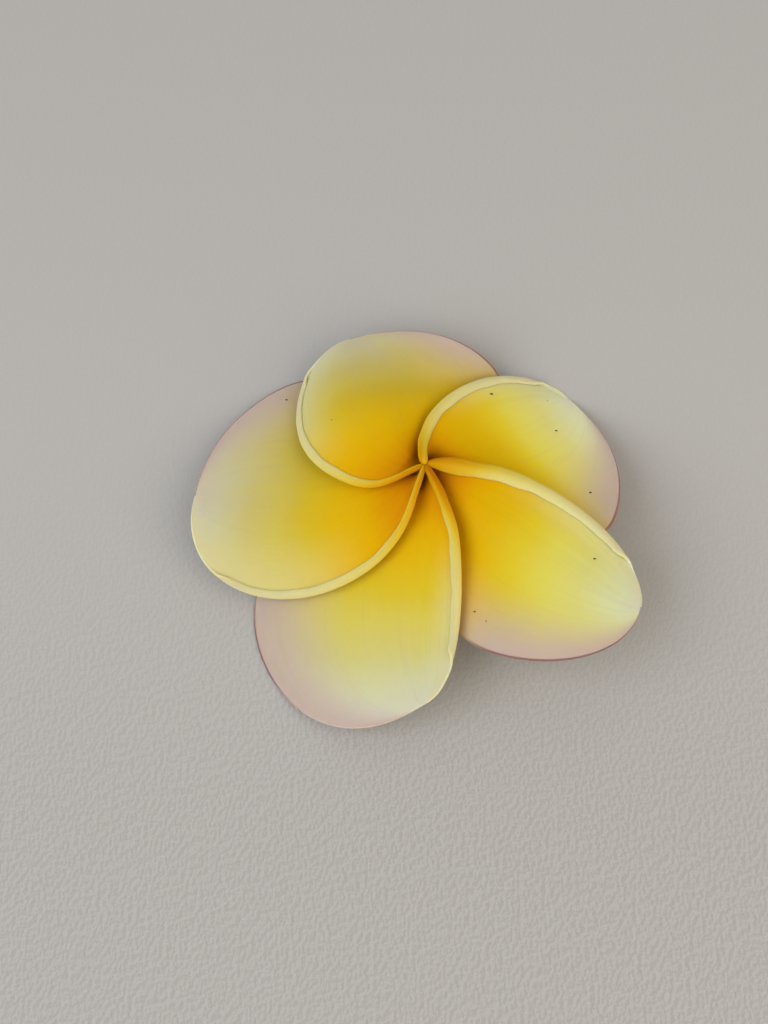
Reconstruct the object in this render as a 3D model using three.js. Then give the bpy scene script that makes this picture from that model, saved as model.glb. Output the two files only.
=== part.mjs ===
// A frangipani flower (plumeria corolla) as it lies after dropping from the tree: five broad petals
// wound one way in a pinwheel round the mouth of a slender tube. Every petal's leading margin is
// rolled over inward and lies on top of the tucked margin of the next petal. Millimetres, +Z up.
// The flower is modelled round its own axis, then leaned so that it rests on three petal edges.
import * as THREE from 'three';

const { cos, sin, min, max, exp, PI } = Math;
const rad = THREE.MathUtils.degToRad;

// ---- how the flower lies -------------------------------------------------------------------
const LEAN_BACK = 8.3;            // degrees the flower's axis leans toward +Y
const LEAN_RIGHT = 0.3;           // and toward +X
const THROAT = { x: 2, y: 6 };         // where the middle of the throat stands over the ground
const THROAT_HEIGHT = 8.9;        // from the ground to the ring; edges that reach lower lie flat

// ---- the petal ring and the petal blade -----------------------------------------------------
const RING_RADIUS = 1.3;          // midlines of the petals start on this ring
const BASE_HALF_WIDTH = 0.42;
const BLADE_THICKNESS = 0.8;
const EDGE_THICKNESS = 0.64;
const BASE_CLIMB = 66;            // degrees up at the ring, out of the tube
const BEND = 0.05;                // share of the length over which the climb turns outward
const BEND_SHAPE = 1.5;           // power: how round that turn is
const IRIS_TWIST = 39;            // extra turn of the narrow bases, like the blades of an iris
const IRIS_LENGTH = 0.08;
const NECK = 0.1;                 // share of the length over which the narrow base widens
const NECK_RIM = 0.7;             // how suddenly, on the rolled side
const NECK_TUCKED = 1.2;          // and on the tucked side
const HOOK = 25;                  // sideways bow of the midline
const EDGE_SPREAD = 8;            // power: how close to the margins the blade stays full thick
const FULL_FROM = 0.12;           // share of the length by which the blade is full thick
const THIN_FROM = 0.9;            // and past which it thins toward the tip
const RIM_SHAPE = { rise: 0.56, fall: 0.42 };      // outline of the rolled side
const TUCKED_SHAPE = { rise: 0.71, fall: 0.56 };   // outline of the tucked side
const CURL_SPAN = 12;             // curls are given in degrees per this many millimetres
const TUCK_START = 0.14;          // share of the length by which the tucked side is fully down
const TUCK_FADE = 0.4;            // and over which it comes up again before tuckEnd
const TUCK_WIDTH = 0.55;          // share of the tucked side over which it slopes down
const CREST = 0.2;                // lift of the rolled side where it crosses its neighbour
const CREST_START = 0.12;         // share of the length by which it is fully lifted
const CREST_END = 0.8;            // and by which it is back down
const CREST_FADE = 0.4;
const CREST_WIDTH = 0.8;          // share of the rolled side over which it slopes up
const ROLL_FULL = 172;            // degrees the margin is folded over where it is fullest
const ROLL_LEAST = 25;            // and where it runs out toward the base and the tip
const ROLL_START = 0.16;          // share of the length by which the roll is full
const ROLL_FADE = 0.25;           // and over which it runs out before rollEnd
const ROLL_ROOM = 4;              // least rolled side, in roll radii, that takes a full roll
const FLAP_LEAST = 0.1;           // share of the flap that is left where the roll runs out

// The five petals, counter-clockwise from the one nearest +X. Angles in degrees, lengths in mm.
// climb and twist are read at the base, the middle and the tip; sweep swings the midline;
// curl bends the two sides; tuck is how far the covered side dips under its neighbour.
const PETALS = [
  { name: 'petal_right', turn: -26.5, length: 38.4, rimSide: 7.7, tuckedSide: 16.6,
    climb: [-3.5, 3, -34.5], twist: [8.5, 5.5, -11.5], rimCurl: -13, tuckedCurl: 19.5, sweep: -16,
    rollRadius: 0.6, flap: 0.8, rollEnd: 0.97, tuck: 2.2, tuckEnd: 0.8 },
  { name: 'petal_upper_right', turn: 46, length: 29.1, rimSide: 7.4, tuckedSide: 25.9,
    climb: [-3.5, -15.5, -24], twist: [-10, 1.5, -14.5], rimCurl: -2, tuckedCurl: -6, sweep: 33.5,
    rollRadius: 0.6, flap: 0.7, rollEnd: 0.85, tuck: 0.6, tuckEnd: 0.8 },
  { name: 'petal_top', turn: 125.5, length: 28.1, rimSide: 13, tuckedSide: 22,
    climb: [28.5, -2, -12.5], twist: [17, 3, -10.5], rimCurl: -55.5, tuckedCurl: 11.5, sweep: 49.5,
    rollRadius: 0.5, flap: 0.3, rollEnd: 0.7, tuck: 2.4, tuckEnd: 0.95 },
  { name: 'petal_left', turn: 191, length: 35.5, rimSide: 14.9, tuckedSide: 24.5,
    climb: [-5, -15, 17], twist: [7.5, -3.5, 1], rimCurl: -24, tuckedCurl: 7, sweep: 29,
    rollRadius: 0.55, flap: 0.5, rollEnd: 0.75, tuck: 2.6, tuckEnd: 0.8 },
  { name: 'petal_bottom', turn: 278.5, length: 35.4, rimSide: 7.5, tuckedSide: 25.2,
    climb: [-6, -19.5, 10], twist: [21.5, 14, 24.5], rimCurl: 6.5, tuckedCurl: 2, sweep: -22,
    rollRadius: 0.6, flap: 0.5, rollEnd: 0.75, tuck: 0.8, tuckEnd: 0.8 },
];

// ---- fineness --------------------------------------------------------------------------------
const ROWS = 20;                  // along a petal
const TUCKED_STEPS = 8;
const TUCKED_MARGIN = 0.04;       // narrow outermost strip of the tucked side
const RIM_STEPS = 6;
const ROLL_STEPS = 4;
const MIDLINE_STEPS = 200;
const STRAIGHT = 1e-6;            // an arc that turns less than this, in radians, is a line
const TUBE_SIDES = 24;

// ---- the tube ----------------------------------------------------------------------------------
const SEAT_GAP = 0.6;             // between the tube's mouth and the petal bases
const TUBE_LENGTH = 7.7;
const TUBE_OUTLINE = [            // [share of the length up from the cut end, outer radius]
  [0, 1.9], [0.12, 2.05], [0.35, 1.75], [0.7, 1.7], [0.9, 1.95], [1, 2.2],
];
const TUBE_WALL = 0.7;
const MOUTH_WALL = 1.2;           // the wall is thicker at the mouth, which narrows the bore

const PETAL_LOOK = { color: 0xe6cd4a, roughness: 0.55, metalness: 0 };
const TUBE_LOOK = { color: 0xd9c58a, roughness: 0.6, metalness: 0 };

const LEAN = new THREE.Quaternion().setFromEuler(
  new THREE.Euler(-rad(LEAN_BACK), rad(LEAN_RIGHT), 0));

// Smooth step from 0 to 1.
function ease(value) {
  const t = min(max(value, 0), 1);
  return t * t * (3 - 2 * t);
}

// The parabola through three values at the base, the middle and the tip.
function along([base, middle, tip], s) {
  return base * (1 - s) * (1 - 2 * s) + middle * 4 * s * (1 - s) + tip * s * (2 * s - 1);
}

// How steeply the midline climbs at s, in radians.
function climbAt(petal, s) {
  const fromTube = exp(-((s / BEND) ** BEND_SHAPE));
  return rad(along(petal.climb, s) + (BASE_CLIMB - petal.climb[0]) * fromTube);
}

// Which way the midline heads at s, seen from above, in radians.
function headingAt(petal, s) {
  return rad(petal.sweep * (0.5 - s) + 2 * HOOK * ((0.5 - s) ** 2 - 0.25));
}

// Half-width of one side at s: quick to widen from the narrow base, round at the tip.
function halfWidth(widest, shape, neck, s) {
  const peak = shape.rise / (shape.rise + shape.fall);
  const outline = (s / peak) ** shape.rise * (max(1 - s, 0) / (1 - peak)) ** shape.fall;
  return BASE_HALF_WIDTH * (1 - s) + widest * ease(s / NECK) ** neck * outline;
}

// A point at length l along an arc that starts at angle a and bends by k radians per millimetre.
function arc(l, a, k) {
  const half = k * l / 2;
  const chord = Math.abs(half) < STRAIGHT ? l : l * sin(half) / half;
  return [chord * cos(a + half), chord * sin(a + half)];
}

// The midline as a list of points, MIDLINE_STEPS + 1 of them.
function midline(petal) {
  const step = petal.length / MIDLINE_STEPS;
  const points = [new THREE.Vector3(RING_RADIUS, 0, 0)];
  for (let i = 0; i < MIDLINE_STEPS; i += 1) {
    const s = (i + 0.5) / MIDLINE_STEPS;
    const climb = climbAt(petal, s);
    const heading = headingAt(petal, s);
    const move = new THREE.Vector3(
      cos(climb) * cos(heading), cos(climb) * sin(heading), sin(climb));
    points.push(points[i].clone().addScaledVector(move, step));
  }
  return points;
}

// The section of the petal at s, across its midline, as one function of the column c:
// -1..0 is the tucked side, 0..1 the rolled side, 1..2 the roll, 2..3 the flap that it ends in.
function section(petal, line, s) {
  const place = s * MIDLINE_STEPS;
  const index = min(Math.floor(place), MIDLINE_STEPS - 1);
  const centre = line[index].clone().lerp(line[index + 1], place - index);
  const climb = climbAt(petal, s);
  const heading = headingAt(petal, s);
  const ahead = new THREE.Vector3(
    cos(climb) * cos(heading), cos(climb) * sin(heading), sin(climb));
  const across = new THREE.Vector3(-sin(heading), cos(heading), 0);
  const up = ahead.clone().cross(across);
  const twist = rad(along(petal.twist, s) + IRIS_TWIST * exp(-((s / IRIS_LENGTH) ** 2)));
  const rimSide = halfWidth(petal.rimSide, RIM_SHAPE, NECK_RIM, s);
  const tuckedSide = halfWidth(petal.tuckedSide, TUCKED_SHAPE, NECK_TUCKED, s);
  const rimBend = rad(petal.rimCurl) / CURL_SPAN;
  const tuckedBend = -rad(petal.tuckedCurl) / CURL_SPAN;
  const fullness = ease(s / ROLL_START) * ease((petal.rollEnd - s) / ROLL_FADE);
  const roll = rad(ROLL_LEAST + (ROLL_FULL - ROLL_LEAST) * fullness);
  const shrink = min(1, rimSide / (ROLL_ROOM * petal.rollRadius));
  const rollRadius = petal.rollRadius * shrink;
  const flap = petal.flap * shrink * max(fullness, FLAP_LEAST);
  const room = (rollRadius + EDGE_THICKNESS / 2) * sin(min(roll, PI / 2));
  const flatSide = max(rimSide - room, rimSide / 2);
  const dip = petal.tuck * ease(s / TUCK_START) * ease((petal.tuckEnd - s) / TUCK_FADE);
  const lift = CREST * ease(s / CREST_START) * ease((CREST_END - s) / CREST_FADE);

  return (c) => {
    let sideways;
    let upward;
    let rise = 0;
    if (c < 0) {
      [sideways, upward] = arc(c * tuckedSide, twist, tuckedBend);
      rise = -dip * ease(-c / TUCK_WIDTH);
    } else if (c <= 1) {
      [sideways, upward] = arc(c * flatSide, twist, rimBend);
      rise = lift * ease(c / CREST_WIDTH);
    } else {
      [sideways, upward] = arc(flatSide, twist, rimBend);
      rise = lift;
      const start = twist + rimBend * flatSide;
      const turned = min(c - 1, 1) * roll;
      sideways += rollRadius * (sin(start + turned) - sin(start));
      upward += rollRadius * (cos(start) - cos(start + turned));
      const reach = max(c - 2, 0) * flap;
      sideways += reach * cos(start + roll);
      upward += reach * sin(start + roll);
    }
    return centre.clone().addScaledVector(across, sideways).addScaledVector(up, upward)
      .add(new THREE.Vector3(0, 0, rise));
  };
}

// Local thickness: full in the blade, thin at both margins, the base and the tip.
function thicknessAt(s, c) {
  const inside = c > 1 ? 0 : 1 - Math.abs(c) ** EDGE_SPREAD;
  const atTip = max((s - THIN_FROM) / (1 - THIN_FROM), 0);
  const lengthwise = ease(s / FULL_FROM) * (1 - atTip ** 2);
  return EDGE_THICKNESS + (BLADE_THICKNESS - EDGE_THICKNESS) * inside * lengthwise;
}

// The columns of the grid across a petal, from the tucked edge to the end of the flap.
function columns() {
  const list = [-1];
  const inner = TUCKED_STEPS - 1;
  for (let i = 0; i < inner; i += 1) list.push((TUCKED_MARGIN - 1) * (1 - i / inner));
  for (let i = 0; i < RIM_STEPS; i += 1) list.push(i / RIM_STEPS);
  for (let i = 0; i <= ROLL_STEPS; i += 1) list.push(1 + i / ROLL_STEPS);
  list.push(3);
  return list;
}

// The grid of points of the petal's middle surface; the last row is one point, the tip.
function middleSurface(petal) {
  const line = midline(petal);
  const across = columns();
  const rows = [];
  for (let i = 0; i <= ROWS; i += 1) {
    const s = (1 - cos(PI * i / ROWS)) / 2;
    const at = section(petal, line, s);
    rows.push(across.map((c) => ({ point: i === ROWS ? at(0) : at(c), s, c })));
  }
  return rows;
}

// Unit normal of the grid at row i, column j, toward the petal's upper face.
function gridNormal(rows, i, j) {
  const last = rows[0].length - 1;
  const row = min(i, ROWS - 1);
  const forward = rows[row + 1][j].point.clone().sub(rows[max(row - 1, 0)][j].point);
  const sideways = rows[row][min(j + 1, last)].point.clone().sub(rows[row][max(j - 1, 0)].point);
  return forward.cross(sideways).normalize();
}

// A closed blade: the middle surface thickened both ways, pressed flat where it meets the ground.
function petalGeometry(petal) {
  const rows = middleSurface(petal);
  const count = rows[0].length;
  const groundUp = new THREE.Vector3(0, 0, 1).applyQuaternion(LEAN.clone().invert())
    .applyAxisAngle(new THREE.Vector3(0, 0, 1), -rad(petal.turn));
  const upper = [];
  const lower = [];
  rows.forEach((row, i) => {
    const tip = i === ROWS;
    const members = tip ? [TUCKED_STEPS] : row.keys();
    for (const j of members) {
      const normal = gridNormal(rows, i, j);
      const half = thicknessAt(row[j].s, row[j].c) / 2;
      const top = row[j].point.clone().addScaledVector(normal, half);
      const bottom = row[j].point.clone().addScaledVector(normal, -half);
      const height = min(bottom.dot(groundUp), top.dot(groundUp)) + THROAT_HEIGHT;
      const press = max(-height, 0);
      upper.push(top.addScaledVector(groundUp, press));
      lower.push(bottom.addScaledVector(groundUp, press));
    }
  });
  const tipIndex = ROWS * count;
  const vertex = (i, j) => (i === ROWS ? tipIndex : i * count + j);
  const under = upper.length;
  const faces = [];
  // Both faces are split along the same diagonal, so that they never cross.
  const facePair = (a, b, c) => faces.push([a, c, b], [under + a, under + b, under + c]);
  for (let i = 0; i < ROWS; i += 1) {
    for (let j = 0; j < count - 1; j += 1) {
      const near = vertex(i, j);
      const far = vertex(i + 1, j + 1);
      facePair(near, vertex(i, j + 1), far);
      if (i < ROWS - 1) facePair(near, far, vertex(i + 1, j));
    }
  }
  // The wall round the margin: out along the tucked edge, back along the flap, across the base.
  const margin = [];
  for (let i = 0; i <= ROWS; i += 1) margin.push(vertex(i, 0));
  for (let i = ROWS - 1; i >= 0; i -= 1) margin.push(vertex(i, count - 1));
  for (let j = count - 2; j > 0; j -= 1) margin.push(vertex(0, j));
  margin.forEach((here, n) => {
    const next = margin[(n + 1) % margin.length];
    faces.push([here, under + here, under + next], [here, under + next, next]);
  });
  const geometry = new THREE.BufferGeometry();
  const positions = [...upper, ...lower].flatMap((p) => [p.x, p.y, p.z]);
  geometry.setAttribute('position', new THREE.Float32BufferAttribute(positions, 3));
  geometry.setIndex(faces.flat());
  geometry.computeVertexNormals();
  return geometry;
}

function makePetal(petal) {
  const material = new THREE.MeshStandardMaterial(PETAL_LOOK);
  const mesh = new THREE.Mesh(petalGeometry(petal), material);
  mesh.name = petal.name;
  mesh.rotation.z = rad(petal.turn);
  return mesh;
}

// The tube below the petals: slender, open at both ends, a little wider at its foot and mouth.
function makeTube() {
  const outer = TUBE_OUTLINE.map(([share, radius]) =>
    new THREE.Vector2(radius, (share - 1) * TUBE_LENGTH));
  const inner = TUBE_OUTLINE.map(([share, radius]) =>
    new THREE.Vector2(radius - (share === 1 ? MOUTH_WALL : TUBE_WALL), (share - 1) * TUBE_LENGTH));
  const profile = [...outer, ...inner.reverse(), outer[0].clone()];
  const material = new THREE.MeshStandardMaterial(TUBE_LOOK);
  const mesh = new THREE.Mesh(new THREE.LatheGeometry(profile, TUBE_SIDES), material);
  mesh.name = 'corolla_tube';
  mesh.position.z = -EDGE_THICKNESS / 2 * cos(rad(BASE_CLIMB)) - SEAT_GAP;
  mesh.rotation.x = PI / 2;
  return mesh;
}

const blossom = new THREE.Group();
PETALS.forEach((petal) => blossom.add(makePetal(petal)));
blossom.add(makeTube());
blossom.quaternion.copy(LEAN);
blossom.position.set(THROAT.x, THROAT.y, THROAT_HEIGHT);

const flower = new THREE.Group();
flower.add(blossom);

export default flower;
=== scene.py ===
"""Dresses a fallen frangipani flower: five petals with rolled margins, the tube and a few specks.

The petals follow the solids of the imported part, only finer and thinner, with rounded margins.
Sizes are in metres once they are in Blender; the petal table is in millimetres and degrees.
"""
from math import cos, pi, radians, sin

import bpy
import numpy as np
from mathutils import Matrix, Vector


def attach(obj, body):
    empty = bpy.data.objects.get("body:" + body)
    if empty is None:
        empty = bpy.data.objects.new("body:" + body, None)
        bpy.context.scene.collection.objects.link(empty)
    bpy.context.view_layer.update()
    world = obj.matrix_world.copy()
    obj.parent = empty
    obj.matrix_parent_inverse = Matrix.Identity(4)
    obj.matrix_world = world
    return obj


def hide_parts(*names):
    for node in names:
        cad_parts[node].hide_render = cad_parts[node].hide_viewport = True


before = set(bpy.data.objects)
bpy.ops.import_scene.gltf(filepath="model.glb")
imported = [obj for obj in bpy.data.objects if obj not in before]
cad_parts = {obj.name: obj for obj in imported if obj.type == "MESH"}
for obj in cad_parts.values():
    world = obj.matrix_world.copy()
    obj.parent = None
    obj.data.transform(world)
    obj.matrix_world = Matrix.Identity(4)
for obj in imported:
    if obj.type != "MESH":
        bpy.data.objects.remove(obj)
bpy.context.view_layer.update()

bl_info = {
    "name": "Frangipani flower",
    "version": (1, 0, 0),
    "blender": (4, 5, 0),
    "location": "View3D > Sidebar > Flower",
    "description": "Makes the petals, the tube, the specks and the stage of a fallen frangipani",
    "category": "Object",
}

BODY = "root"
MM = 0.001

# ---- how the flower lies, as in the part --------------------------------------------------------
LEAN_BACK = 8.3
LEAN_RIGHT = 0.3
THROAT = (2.0, 6.0, 8.9)

# ---- the form that all petals share, as in the part ---------------------------------------------
RING_RADIUS = 1.3
BASE_HALF_WIDTH = 0.42
SOLID_BLADE = 0.8                 # thickness of the part's solids
SOLID_EDGE = 0.64
BASE_CLIMB = 66
BEND = 0.05
BEND_SHAPE = 1.5
IRIS_TWIST = 39
IRIS_LENGTH = 0.08
NECK = 0.1
NECK_RIM = 0.7
NECK_TUCKED = 1.2
HOOK = 25
RIM_RISE, RIM_FALL = 0.56, 0.42
TUCKED_RISE, TUCKED_FALL = 0.71, 0.56
CURL_SPAN = 12
EDGE_SPREAD = 8
FULL_FROM, THIN_FROM = 0.12, 0.9
TUCK_START, TUCK_FADE, TUCK_WIDTH = 0.14, 0.4, 0.55
CREST = 0.2
CREST_START, CREST_END, CREST_FADE, CREST_WIDTH = 0.12, 0.8, 0.4, 0.8
ROLL_FULL, ROLL_LEAST = 172, 25
ROLL_START = 0.16
FLAP_LEAST = 0.1

# Angles in degrees, lengths in millimetres; climb and twist are at the base, middle and tip.
# turn is the petal's place round the axis, sweep swings its midline, the curls bend its two sides
# and tuck is how far the covered side dips under its neighbour.
# arrives is the direction, seen from above, in which a rolled margin leaves the hub of the eye,
# and over is how far its end lies above the others there. cord scales the roll there, thin is the
# share by which it is thinner right at the hub, nudge moves the margin a little just outside the
# eye, and cover moves the covered margin in under the next petal.
PETALS = {
    "petal_right": {
        "turn": -26.5, "length": 38.4, "rim_side": 7.7, "tucked_side": 16.6,
        "climb": (-3.5, 3, -34.5), "twist": (8.5, 5.5, -11.5), "rim_curl": -13, "tucked_curl": 19.5,
        "sweep": -16, "roll_radius": 0.55, "flap": 1.0, "roll_end": 0.95,
        "tuck": 2.2, "tuck_end": 0.8, "arrives": 2, "over": 0.0, "cord": 1.8,
        "thin": 0.65, "nudge": (-0.1, -0.45), "cover": (0, 0)},
    "petal_upper_right": {
        "turn": 46, "length": 29.1, "rim_side": 7.4, "tucked_side": 25.9,
        "climb": (-3.5, -15.5, -24), "twist": (-10, 1.5, -14.5), "rim_curl": -2, "tucked_curl": -6,
        "sweep": 33.5, "roll_radius": 0.52, "flap": 0.92, "roll_end": 0.99,
        "tuck": 0.6, "tuck_end": 0.8, "arrives": 100, "over": 0.35, "cord": 1.0,
        "thin": 0.0, "nudge": (0.22, -0.1), "cover": (0, 0)},
    "petal_top": {
        "turn": 125.5, "length": 28.1, "rim_side": 13, "tucked_side": 22,
        "climb": (28.5, -2, -12.5), "twist": (17, 3, -10.5), "rim_curl": -55.5, "tucked_curl": 11.5,
        "sweep": 49.5, "roll_radius": 0.44, "flap": 0.75, "roll_end": 0.99,
        "tuck": 2.4, "tuck_end": 0.95, "arrives": 209, "over": -0.05, "cord": 0.75,
        "thin": 0.25, "nudge": (0, -0.4), "cover": (0.6, 0.1)},
    "petal_left": {
        "turn": 191, "length": 35.5, "rim_side": 14.9, "tucked_side": 24.5,
        "climb": (-5, -15, 17), "twist": (7.5, -3.5, 1), "rim_curl": -24, "tucked_curl": 7,
        "sweep": 29, "roll_radius": 0.42, "flap": 0.6, "roll_end": 0.93,
        "tuck": 2.6, "tuck_end": 0.8, "arrives": 255, "over": 0.0, "cord": 0.85,
        "thin": 0.45, "nudge": (-0.2, 0.2), "cover": (0, 0.35)},
    "petal_bottom": {
        "turn": 278.5, "length": 35.4, "rim_side": 7.5, "tucked_side": 25.2,
        "climb": (-6, -19.5, 10), "twist": (21.5, 14, 24.5), "rim_curl": 6.5, "tucked_curl": 2,
        "sweep": -22, "roll_radius": 0.48, "flap": 0.8, "roll_end": 0.9,
        "tuck": 0.8, "tuck_end": 0.8, "arrives": 298, "over": 0.05, "cord": 0.95,
        "thin": 0.5, "nudge": (-0.4, -0.15), "cover": (0, 0)},
}

# How each petal's colour differs. tint multiplies its outer part, painted light and shade that make
# a petal lighter or darker by how the light falls on it. depth is painted shade at its base, brown
# orange where the throat is deep, partly the throat's own colour. roll_gold is how far out the gold
# runs along the rolled margin, and lag how far it runs on the covered side, painted shade there
# from the next petal's rolled margin (painted light where lag is below 0). The blush begins at
# blush_from, and the line along the edge ends at line_to.
LOOKS = {
    "petal_right": {
        "painted_light": (1.03, 1.06, 1.1), "painted_throat_shade": 0.3, "roll_gold": 0.02,
        "painted_cover_shade": 0.12, "blush_from": 0.25, "line_to": 1.2},
    "petal_upper_right": {
        "painted_light": (1.18, 1.14, 1.1), "painted_throat_shade": 0.9, "roll_gold": -0.05,
        "painted_cover_shade": 0.03, "blush_from": 0.38, "line_to": 1.2},
    "petal_top": {
        "painted_light": (0.84, 0.75, 0.7), "painted_throat_shade": 0.15, "roll_gold": -0.02,
        "painted_cover_shade": 0.06, "blush_from": 0.45, "line_to": 1.2},
    "petal_left": {
        "painted_light": (0.9, 0.84, 0.94), "painted_throat_shade": 0.0, "roll_gold": -0.04,
        "painted_cover_shade": 0.02, "blush_from": 0.4, "line_to": 1.2},
    "petal_bottom": {
        "painted_light": (0.97, 0.95, 1.02), "painted_throat_shade": 0.0, "roll_gold": 0.06,
        "painted_cover_shade": -0.08, "blush_from": 0.08, "line_to": 0.9},
}

# ---- what the finer petals add -------------------------------------------------------------------
ROWS = 130
TUCKED_COLUMNS = 52
RIM_COLUMNS = 36
ROLL_COLUMNS = 14
FLAP_COLUMNS = 6
ROUNDING = 4                      # points round each margin
MIDLINE_STEPS = 400
FLAP_BEND = 75                    # degrees the flap goes on bending, back toward the blade
HUB = (0.12, 0.35, 2.3)           # where the five rolled margins meet, over the middle of the ring
HUB_GAP = 0.35                    # mm from there to the end of each margin
HUB_REACH = 0.1                   # share of the length over which a margin is led there
HUB_CLIMB = 12                    # degrees at which the margins rise away from it
HUB_INNER, HUB_WIDTH = 0.5, 1.3   # the columns that are led along, counted from the midline
CORD_REACH = 0.5                  # share of the length where a margin has its own thickness
THIN_REACH = 0.05                 # share of the length over which it is thinner, at the hub
ROLL_FLAT = 0.55                  # height of the roll as a share of its width
CORD_END = 0.03                   # share of the length over which its end is rounded
CORD_ROUND = 0.85                 # and how much
CORD_FULL = 0.8                   # how fully the margin is rolled at the hub
NUDGE_AT = 0.13                   # share of the length where a margin is nudged sideways
NUDGE_SPREAD = 0.08
COVER_AT = 0.035                  # and where the covered margin is moved in under the next petal
COVER_SPREAD = 0.025
COVER_WIDTH = 0.6                 # share of the covered side that goes with it
HUMP_START = 2                    # the base holds such a move back up to its middle over this
TAPER_START = 0.35                # share of the length where the roll begins to get thinner
TAPER_LEAST = 0.3                 # share of the roll radius that is left where it runs out
TAPER_SHAPE = 0.6                 # power: how late it gets thin
ROLL_STOP = 0.16                  # share of the length over which the roll opens at its end
ROLL_UNEVEN = 0.1                 # share by which the width of the roll varies along it
ROLL_WAVES = (31, 53)             # radians along it of the two waves that vary it
TIP_ROUND = 0.03                  # share of the length over which the tip thins out
GROUND_CALM = 1.2                 # mm over the ground where the relief is whole
CALM_START, CALM_RISE = 0.12, 0.25    # shares of the length where the relief comes in
CALM_RIM, CALM_FADE = 0.55, 0.4       # shares of the rolled side where it goes out
CALM_TIP, CALM_TIP_FADE = 0.75, 0.25  # shares of the length where it weakens toward the tip
CALM_TIP_SHARE = 0.7                  # and by how much

# ---- the tube ------------------------------------------------------------------------------------
TUBE_SIDES = 96
TUBE_RINGS = 60
TUBE_LENGTH = 7.7
SEAT_GAP = 0.6
TUBE_OUTLINE = ((0, 1.9), (0.12, 2.05), (0.35, 1.75), (0.7, 1.7), (0.9, 1.95), (1, 2.2))
TUBE_WALL = 0.7
MOUTH_WALL = 1.2
MOUTH_DEPTH = 0.12                # share of the length over which the bore narrows to the mouth
BORE_OPEN = 0.8                   # height share under which the bore narrows
BORE_CLOSED = 0.9                 # and by how much
MOUTH_RAISE = 0.3                 # mm by which the mouth comes up to meet the petal bases
TUBE_RIBS = 5
TUBE_RIB_HEIGHT = 0.05
TUBE_LIP = 0.16                   # mm of height in which the wall is rounded at both ends
TUBE_SMOOTHING = 3                # rings either side that the outline is averaged over

# Small dark specks, scattered by a seeded rule: how many on each petal, and the ranges of their
# places along it, their places across it and their lengths in mm.
SPECK_COUNTS = {"petal_right": 3, "petal_upper_right": 4, "petal_top": 3, "petal_left": 2}
SPECK_SEED = 5
SPECK_ALONG = (0.35, 0.85)
SPECK_ACROSS = (-0.85, 0.7)
SPECK_LENGTHS = (0.25, 0.6)
SPECK_SHAPE = (1, 0.55, 0.3)      # its width and height as shares of its length
SPECK_STEP = 0.005                # step along the petal to read its slope; across, twice this
SPECK_RAISE = 0.12                # mm by which a speck stands over the middle of the blade

# ---- the stage, in metres ------------------------------------------------------------------------
FLOOR_HALF = 1.5
GRAIN_SCALE = (1700.0, 1050.0, 1.0)   # grains of the paper to a metre, along x and y
GRAIN_BESIDE = (0.35, -0.25, 0.0)     # in grains, to the spot that shades each
GRAIN_NEAR, GRAIN_FAR = -0.05, 0.02   # y up to which they are strong, and past which faint
WINDOW = {"place": (-0.44, -0.26, 0.52), "size": 0.7, "colour": (0.93, 0.97, 1.0)}
LAMP = {"place": (0.38, -0.26, 0.42), "size": 0.65, "colour": (1.0, 0.87, 0.68)}
ROOM_COLOUR = (1.0, 0.97, 0.92, 1.0)
SENSOR_WIDTH = 36
CAMERA_SHIFT = (-0.0398, -0.0363)
CLIP_START = 0.01


def tone(red, green, blue):
    """A colour given by its screen values, 0 to 255, as the linear values that shaders use."""
    shares = (red / 255, green / 255, blue / 255)
    return tuple(v / 12.92 if v <= 0.04045 else ((v + 0.055) / 1.055) ** 2.4 for v in shares)


# ---- settings that a user would change -----------------------------------------------------------
class PetalSettings(bpy.types.PropertyGroup):
    blade: bpy.props.FloatProperty(
        name="Blade thickness", description="Thickness of a petal away from its margins",
        default=0.5 * MM, min=0.2 * MM, max=0.8 * MM, subtype="DISTANCE", unit="LENGTH")
    edge: bpy.props.FloatProperty(
        name="Edge thickness", description="Thickness of a petal at its margins",
        default=0.36 * MM, min=0.34 * MM, max=0.64 * MM, subtype="DISTANCE", unit="LENGTH")
    ripple: bpy.props.FloatProperty(
        name="Ripple height", description="Height of the long soft ripples in the blade",
        default=0.16 * MM, min=0, max=0.3 * MM, subtype="DISTANCE", unit="LENGTH")
    ribs: bpy.props.FloatProperty(
        name="Vein height", description="Height of the fine lengthwise veins",
        default=0.012 * MM, min=0, max=0.1 * MM, subtype="DISTANCE", unit="LENGTH")
    seed: bpy.props.IntProperty(
        name="Seed", description="Which pattern of ripples and veins is used", default=3)


class ColourSettings(bpy.types.PropertyGroup):
    gold: bpy.props.FloatVectorProperty(
        name="Gold", description="The deep yellow round the throat",
        subtype="COLOR", size=3, min=0, max=1, default=tone(231, 183, 4))
    yellow: bpy.props.FloatVectorProperty(
        name="Yellow", description="The clear yellow half way out",
        subtype="COLOR", size=3, min=0, max=1, default=tone(227, 204, 46))
    cream: bpy.props.FloatVectorProperty(
        name="Cream", description="The pale yellow near the tips",
        subtype="COLOR", size=3, min=0, max=1, default=tone(220, 216, 136))
    blush: bpy.props.FloatVectorProperty(
        name="Blush", description="The pinkish cream of the covered margins",
        subtype="COLOR", size=3, min=0, max=1, default=tone(202, 184, 178))
    line: bpy.props.FloatVectorProperty(
        name="Edge line", description="The thin line along the free margins",
        subtype="COLOR", size=3, min=0, max=1, default=tone(116, 70, 86))
    roll: bpy.props.FloatVectorProperty(
        name="Rolled margin", description="The cream of the rolled margins",
        subtype="COLOR", size=3, min=0, max=1, default=tone(228, 215, 146))
    # partly painted shade: the throat's own brown orange, darkened for the shade down in the deep
    # throat
    throat: bpy.props.FloatVectorProperty(
        name="Throat", description="The brown orange where the petals enter the tube",
        subtype="COLOR", size=3, min=0, max=1, default=tone(96, 42, 0))
    tube: bpy.props.FloatVectorProperty(
        name="Tube", description="The outside of the tube",
        subtype="COLOR", size=3, min=0, max=1, default=tone(214, 200, 140))


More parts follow.
